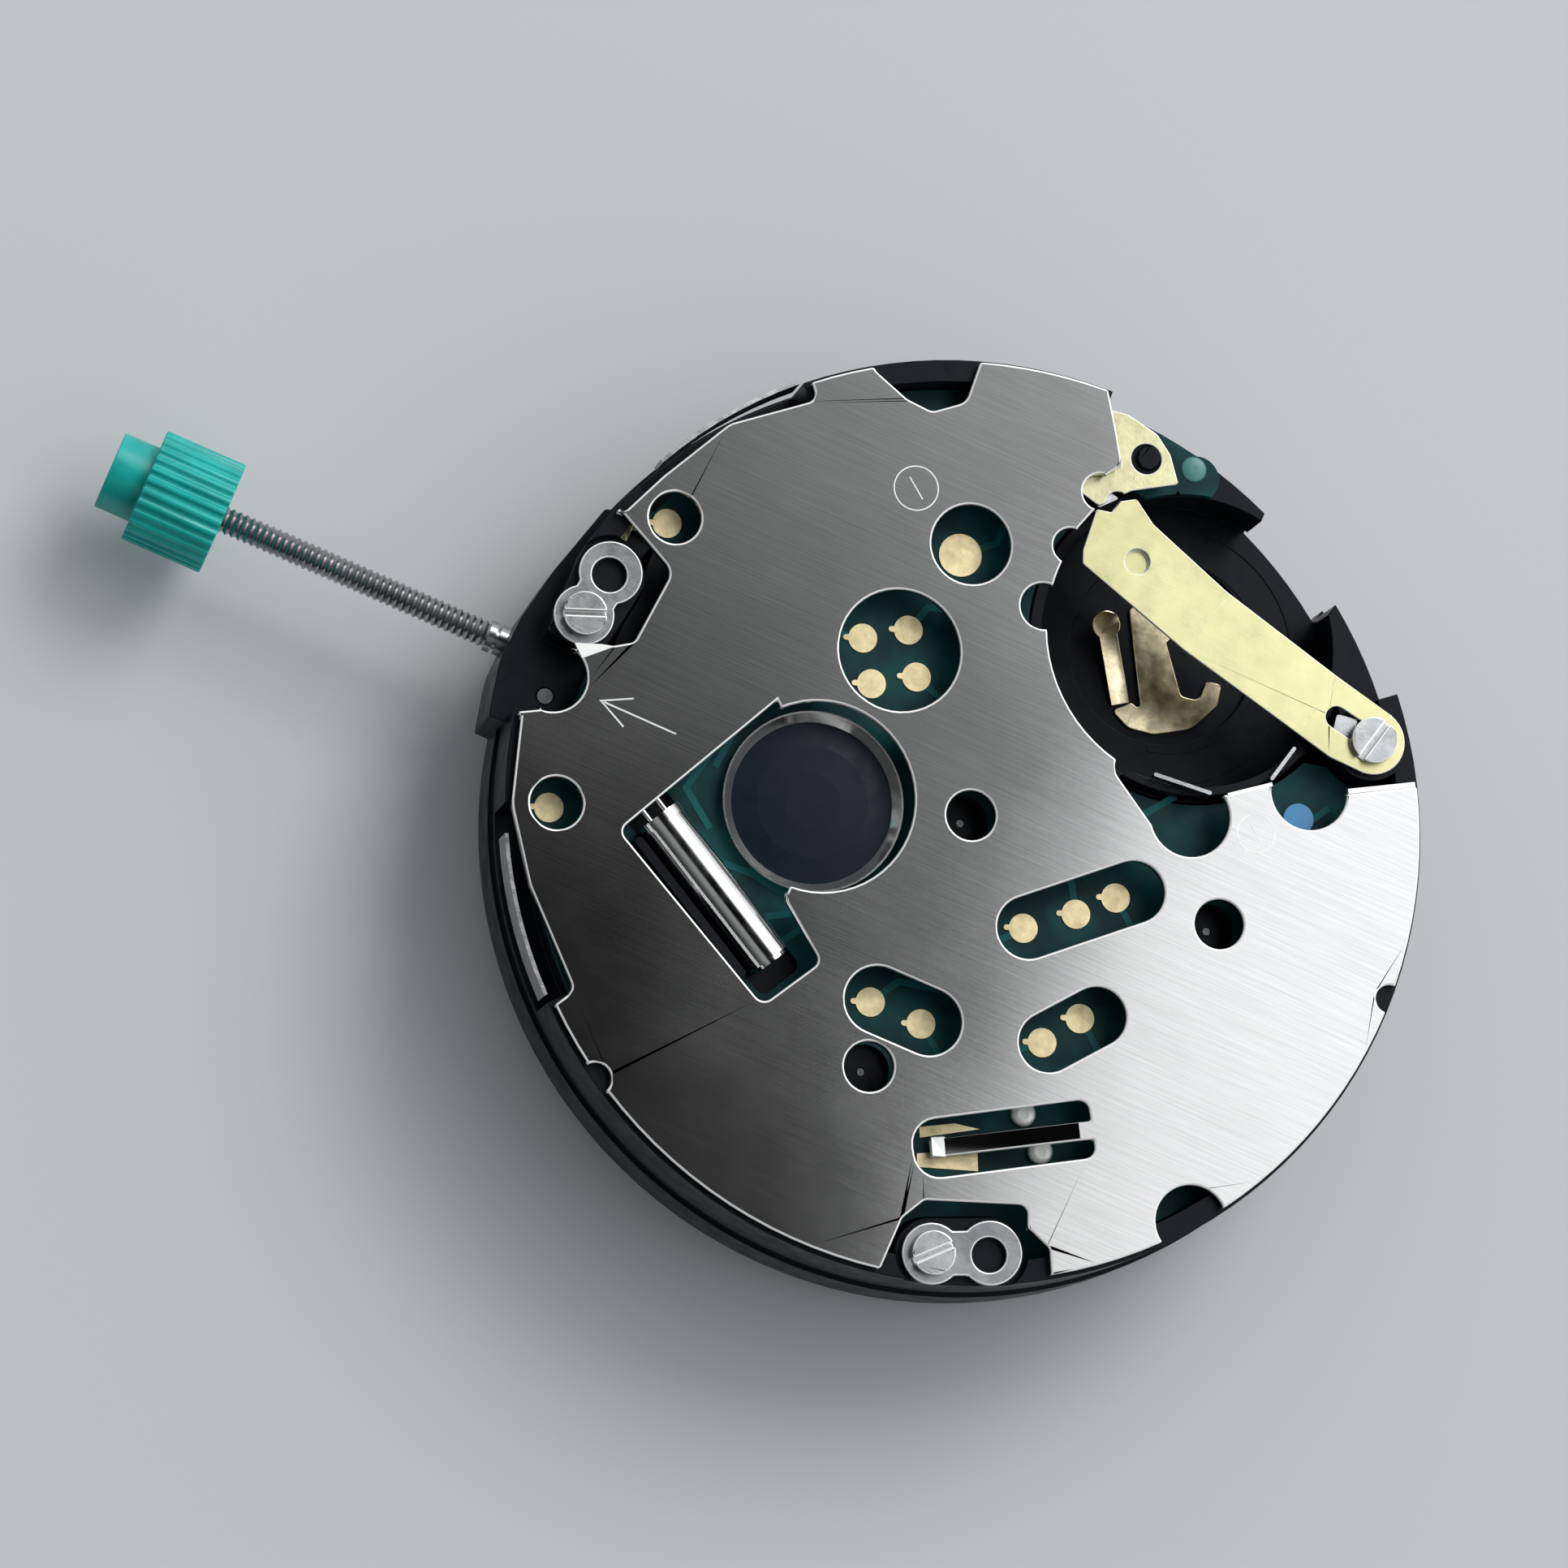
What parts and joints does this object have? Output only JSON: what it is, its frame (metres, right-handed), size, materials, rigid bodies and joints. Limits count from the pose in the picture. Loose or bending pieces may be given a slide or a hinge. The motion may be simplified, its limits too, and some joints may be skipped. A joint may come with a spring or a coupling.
{
  "type": "watch movement",
  "caption": "Round quartz chronograph watch movement, battery side up, with a slotted cover plate, a battery well and strap, a threaded setting stem and a ribbed crown.",
  "frame": {"origin": "the hand axis at the dial seat", "axes": "+Z to the back (battery) side, +X along the stem to the crown at 3 o'clock, +Y to 6 o'clock"},
  "size_m": [0.0442, 0.03, 0.0073],
  "materials": {
    "black_plastic": "glossy moulded plastic with a faint blue cast",
    "plate_steel": "thin rolled steel",
    "screw_steel": "nickel plated screw steel, lightly scratched",
    "gilt_brass": "gilt brass",
    "board": "dark teal solder resist with faint tracks",
    "gold_pad": "pale matte gold plating",
    "crystal_can": "drawn and plated can",
    "dam_ring": "bright glossy ring",
    "potting": "matte charcoal resin",
    "cover_steel": "brushed steel with the grain along X",
    "clamp_steel": "grey steel",
    "contact_brass": "yellow brass",
    "dark_brass": "scratched brass",
    "blue_dot": "light blue varnish",
    "winding": "enamelled copper wire",
    "core_steel": "soft magnetic sheet",
    "strap_gilt": "pale yellow gilt spring sheet",
    "leaf_steel": "spring steel",
    "gear_steel": "polished steel",
    "stem_steel": "turned and threaded steel",
    "green_plastic": "bright green translucent plastic",
    "magnet": "sintered magnet"
  },
  "bodies": {
    "movement": {"main_plate": "black_plastic", "motion_work_cover": "plate_steel", "motion_cover_screws": "screw_steel", "train_bridge": "black_plastic", "centre_bridge": "gilt_brass", "bridge_screws": "screw_steel", "circuit_board": "board", "test_pads": "gold_pad", "quartz_crystal": "crystal_can", "crystal_cradle": "black_plastic", "chip_dam_ring": "dam_ring", "chip_potting": "potting", "cover_plate": "cover_steel", "case_clamps": "clamp_steel", "clamp_screws": "screw_steel", "strap_screw": "screw_steel", "strap_earth_tab": "screw_steel", "contact_plate": "contact_brass", "contact_spring": "screw_steel", "battery_side_springs": "screw_steel", "negative_contact": "dark_brass", "sealing_dot": "blue_dot", "time_coil": "winding", "time_stator": "core_steel", "chrono_coil": "winding", "chrono_stator": "core_steel", "yoke_spring": "screw_steel"},
    "seconds_wheel": {"seconds_wheel": "gilt_brass", "seconds_arbor": "gear_steel"},
    "third_wheel": {"third_wheel": "gilt_brass"},
    "centre_wheel": {"centre_wheel": "gilt_brass", "cannon_pinion": "gear_steel"},
    "minute_wheel": {"minute_wheel": "gilt_brass"},
    "hour_wheel": {"hour_wheel": "gilt_brass", "hour_pipe": "gilt_brass"},
    "setting_wheel": {"setting_wheel": "gear_steel"},
    "time_intermediate_wheel": {"time_intermediate_wheel": "gilt_brass"},
    "time_rotor": {"time_rotor": "magnet"},
    "chrono_seconds_wheel": {"chrono_seconds_wheel": "gilt_brass", "chrono_arbor": "gear_steel"},
    "chrono_intermediate_wheel": {"chrono_intermediate_wheel": "gilt_brass"},
    "chrono_rotor": {"chrono_rotor": "magnet"},
    "counter_idler": {"counter_idler": "gilt_brass"},
    "minute_counter_wheel": {"minute_counter_wheel": "gilt_brass", "counter_arbor": "gear_steel"},
    "sliding_pinion": {"sliding_pinion": "gear_steel"},
    "stem": {"stem": "stem_steel", "crown": "green_plastic"},
    "setting_lever": {"setting_lever": "gear_steel"},
    "battery_strap": {"battery_strap": "strap_gilt"},
    "contact_arm": {"contact_arm": "dark_brass"},
    "reset_leaf": {"reset_leaf": "leaf_steel"},
    "start_stop_leaf": {"start_stop_leaf": "leaf_steel"}
  },
  "joints": [
    {"name": "seconds_turn", "type": "hinge", "parent": "movement", "child": "seconds_wheel", "pos_m": [0, 0.0087, 0.0025], "axis": [0, 0, 1], "continuous": true},
    {"name": "third_wheel_turn", "type": "hinge", "parent": "movement", "child": "third_wheel", "pos_m": [0.00098, 0.00439, 0.0025], "axis": [0, 0, 1], "continuous": true},
    {"name": "centre_wheel_turn", "type": "hinge", "parent": "movement", "child": "centre_wheel", "pos_m": [0, 0, 0.0025], "axis": [0, 0, 1], "continuous": true},
    {"name": "minute_wheel_turn", "type": "hinge", "parent": "movement", "child": "minute_wheel", "pos_m": [0.00272, -0.00127, 0.0025], "axis": [0, 0, 1], "continuous": true},
    {"name": "hour_wheel_turn", "type": "hinge", "parent": "movement", "child": "hour_wheel", "pos_m": [0, 0, 0.0025], "axis": [0, 0, 1], "continuous": true},
    {"name": "setting_wheel_turn", "type": "hinge", "parent": "movement", "child": "setting_wheel", "pos_m": [0.00641, -0.00062, 0.0025], "axis": [0, 0, 1], "continuous": true},
    {"name": "time_intermediate_turn", "type": "hinge", "parent": "movement", "child": "time_intermediate_wheel", "pos_m": [-0.00248, 0.0096, 0.0025], "axis": [0, 0, 1], "continuous": true},
    {"name": "time_rotor_turn", "type": "hinge", "parent": "movement", "child": "time_rotor", "pos_m": [-0.00438, 0.00872, 0.0025], "axis": [0, 0, 1], "continuous": true},
    {"name": "chrono_seconds_turn", "type": "hinge", "parent": "movement", "child": "chrono_seconds_wheel", "pos_m": [0, 0, 0.0025], "axis": [0, 0, 1], "continuous": true},
    {"name": "chrono_intermediate_turn", "type": "hinge", "parent": "movement", "child": "chrono_intermediate_wheel", "pos_m": [0.0009, -0.00248, 0.0025], "axis": [0, 0, 1], "continuous": true},
    {"name": "chrono_rotor_turn", "type": "hinge", "parent": "movement", "child": "chrono_rotor", "pos_m": [0.00195, -0.0043, 0.0025], "axis": [0, 0, 1], "continuous": true},
    {"name": "counter_idler_turn", "type": "hinge", "parent": "movement", "child": "counter_idler", "pos_m": [-0.00431, 0.00098, 0.0025], "axis": [0, 0, 1], "continuous": true},
    {"name": "minute_counter_turn", "type": "hinge", "parent": "movement", "child": "minute_counter_wheel", "pos_m": [-0.0087, 0, 0.0025], "axis": [0, 0, 1], "continuous": true},
    {"name": "stem_turn", "type": "hinge", "parent": "movement", "child": "sliding_pinion", "pos_m": [0.009, 0, 0.0012], "axis": [1, 0, 0], "continuous": true},
    {"name": "stem_pull", "type": "slide", "parent": "sliding_pinion", "child": "stem", "axis": [1, 0, 0], "range_m": [0, 0.0011]},
    {"name": "setting_lever_turn", "type": "hinge", "parent": "movement", "child": "setting_lever", "pos_m": [0.0138, 0.0016, 0.0012], "axis": [0, 0, 1], "range_deg": [0, 61]},
    {"name": "strap_swing", "type": "hinge", "parent": "movement", "child": "battery_strap", "pos_m": [-0.01122, -0.0076, 0.005], "axis": [0, 0, 1], "range_deg": [-65, 0]},
    {"name": "contact_press", "type": "hinge", "parent": "movement", "child": "contact_arm", "pos_m": [-0.00386, -0.0063, 0.00098], "axis": [0.8276, 0.5613, 0], "range_deg": [0, 8], "stiffness_Nm_per_rad": 0.02},
    {"name": "reset_press", "type": "hinge", "parent": "movement", "child": "reset_leaf", "pos_m": [0.01031, 0.01075, 0.0045], "axis": [0, 0, 1], "range_deg": [-2, 0], "stiffness_Nm_per_rad": 0.1},
    {"name": "start_stop_press", "type": "hinge", "parent": "movement", "child": "start_stop_leaf", "pos_m": [0.01031, -0.01075, 0.0045], "axis": [0, 0, 1], "range_deg": [0, 2], "stiffness_Nm_per_rad": 0.1}
  ],
  "couplings": [
    {"joint": "third_wheel_turn", "follows": "seconds_turn", "ratio": -0.13333},
    {"joint": "centre_wheel_turn", "follows": "seconds_turn", "ratio": 0.016667},
    {"joint": "minute_wheel_turn", "follows": "seconds_turn", "ratio": -0.0055556},
    {"joint": "hour_wheel_turn", "follows": "seconds_turn", "ratio": 0.0013889},
    {"joint": "setting_wheel_turn", "follows": "seconds_turn", "ratio": 0.0083333},
    {"joint": "time_intermediate_turn", "follows": "seconds_turn", "ratio": -5},
    {"joint": "time_rotor_turn", "follows": "seconds_turn", "ratio": 30},
    {"joint": "chrono_intermediate_turn", "follows": "chrono_seconds_turn", "ratio": -5},
    {"joint": "chrono_rotor_turn", "follows": "chrono_seconds_turn", "ratio": 30},
    {"joint": "counter_idler_turn", "follows": "chrono_seconds_turn", "ratio": -0.13333},
    {"joint": "minute_counter_turn", "follows": "chrono_seconds_turn", "ratio": 0.016667},
    {"joint": "setting_lever_turn", "follows": "stem_pull", "rad_per_m": 952}
  ]
}
